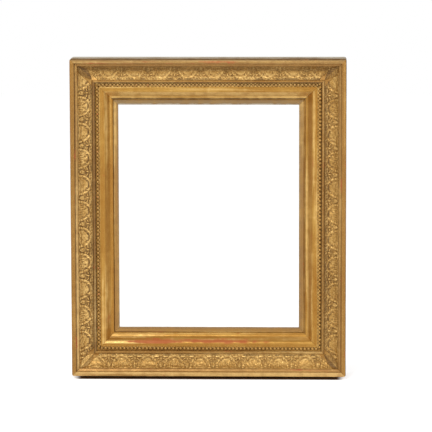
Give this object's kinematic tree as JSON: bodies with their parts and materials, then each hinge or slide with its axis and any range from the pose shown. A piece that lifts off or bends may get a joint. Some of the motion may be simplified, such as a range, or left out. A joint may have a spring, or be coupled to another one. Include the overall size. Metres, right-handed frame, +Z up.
{
  "type": "picture frame",
  "caption": "Upright gilded picture frame: a cove of moulded palmettes with corner leaves, a string of beads and a smooth ogee round an empty opening.",
  "frame": {"origin": "middle of the flat face that the frame stands on, halfway through the wood's depth", "axes": "+X to the right seen from the front, +Y from the front to the back, +Z up"},
  "size_m": [0.5462, 0.0679, 0.6347],
  "materials": {
    "gilded_wood": "water gilding on gesso and red bole, worn and toned",
    "gilded_composition": "gilded composition, matt in the hollows and rubbed on the high points",
    "bare_pine": "bare aged pine",
    "nail_iron": "dark cut iron",
    "old_brass": "dull old brass"
  },
  "bodies": {
    "frame": {"outer_moulding_top": "gilded_wood", "outer_moulding_bottom": "gilded_wood", "outer_moulding_left": "gilded_wood", "outer_moulding_right": "gilded_wood", "sight_moulding_top": "gilded_wood", "sight_moulding_bottom": "gilded_wood", "sight_moulding_left": "gilded_wood", "sight_moulding_right": "gilded_wood", "back_rail_top": "bare_pine", "back_rail_bottom": "bare_pine", "back_stile_left": "bare_pine", "back_stile_right": "bare_pine", "palmette_strip_top": "gilded_composition", "palmette_strip_bottom": "gilded_composition", "palmette_strip_left": "gilded_composition", "palmette_strip_right": "gilded_composition", "bead_string_top": "gilded_composition", "bead_string_bottom": "gilded_composition", "bead_string_left": "gilded_composition", "bead_string_right": "gilded_composition", "corner_leaf_top_left": "gilded_composition", "corner_leaf_top_right": "gilded_composition", "corner_leaf_bottom_left": "gilded_composition", "corner_leaf_bottom_right": "gilded_composition", "moulding_nails": "nail_iron", "lap_nails": "nail_iron", "turn_button_screws": "old_brass", "screw_eye": "old_brass"},
    "hanging_ring": {"hanging_ring": "old_brass"},
    "turn_button_upper_left": {"turn_button_upper_left": "old_brass"},
    "turn_button_upper_right": {"turn_button_upper_right": "old_brass"},
    "turn_button_lower_left": {"turn_button_lower_left": "old_brass"},
    "turn_button_lower_right": {"turn_button_lower_right": "old_brass"}
  },
  "joints": [
    {"name": "hanging_ring_swing", "type": "hinge", "parent": "frame", "child": "hanging_ring", "pos_m": [0, 0.03495, 0.59356], "axis": [1, 0, 0], "range_deg": [0, 180]},
    {"name": "turn_button_upper_left_turn", "type": "hinge", "parent": "frame", "child": "turn_button_upper_left", "pos_m": [-0.2013, 0.0297, 0.45536], "axis": [0, -1, 0], "continuous": true},
    {"name": "turn_button_upper_right_turn", "type": "hinge", "parent": "frame", "child": "turn_button_upper_right", "pos_m": [0.2013, 0.0297, 0.45536], "axis": [0, 1, 0], "continuous": true},
    {"name": "turn_button_lower_left_turn", "type": "hinge", "parent": "frame", "child": "turn_button_lower_left", "pos_m": [-0.2013, 0.0297, 0.17936], "axis": [0, -1, 0], "continuous": true},
    {"name": "turn_button_lower_right_turn", "type": "hinge", "parent": "frame", "child": "turn_button_lower_right", "pos_m": [0.2013, 0.0297, 0.17936], "axis": [0, 1, 0], "continuous": true}
  ]
}
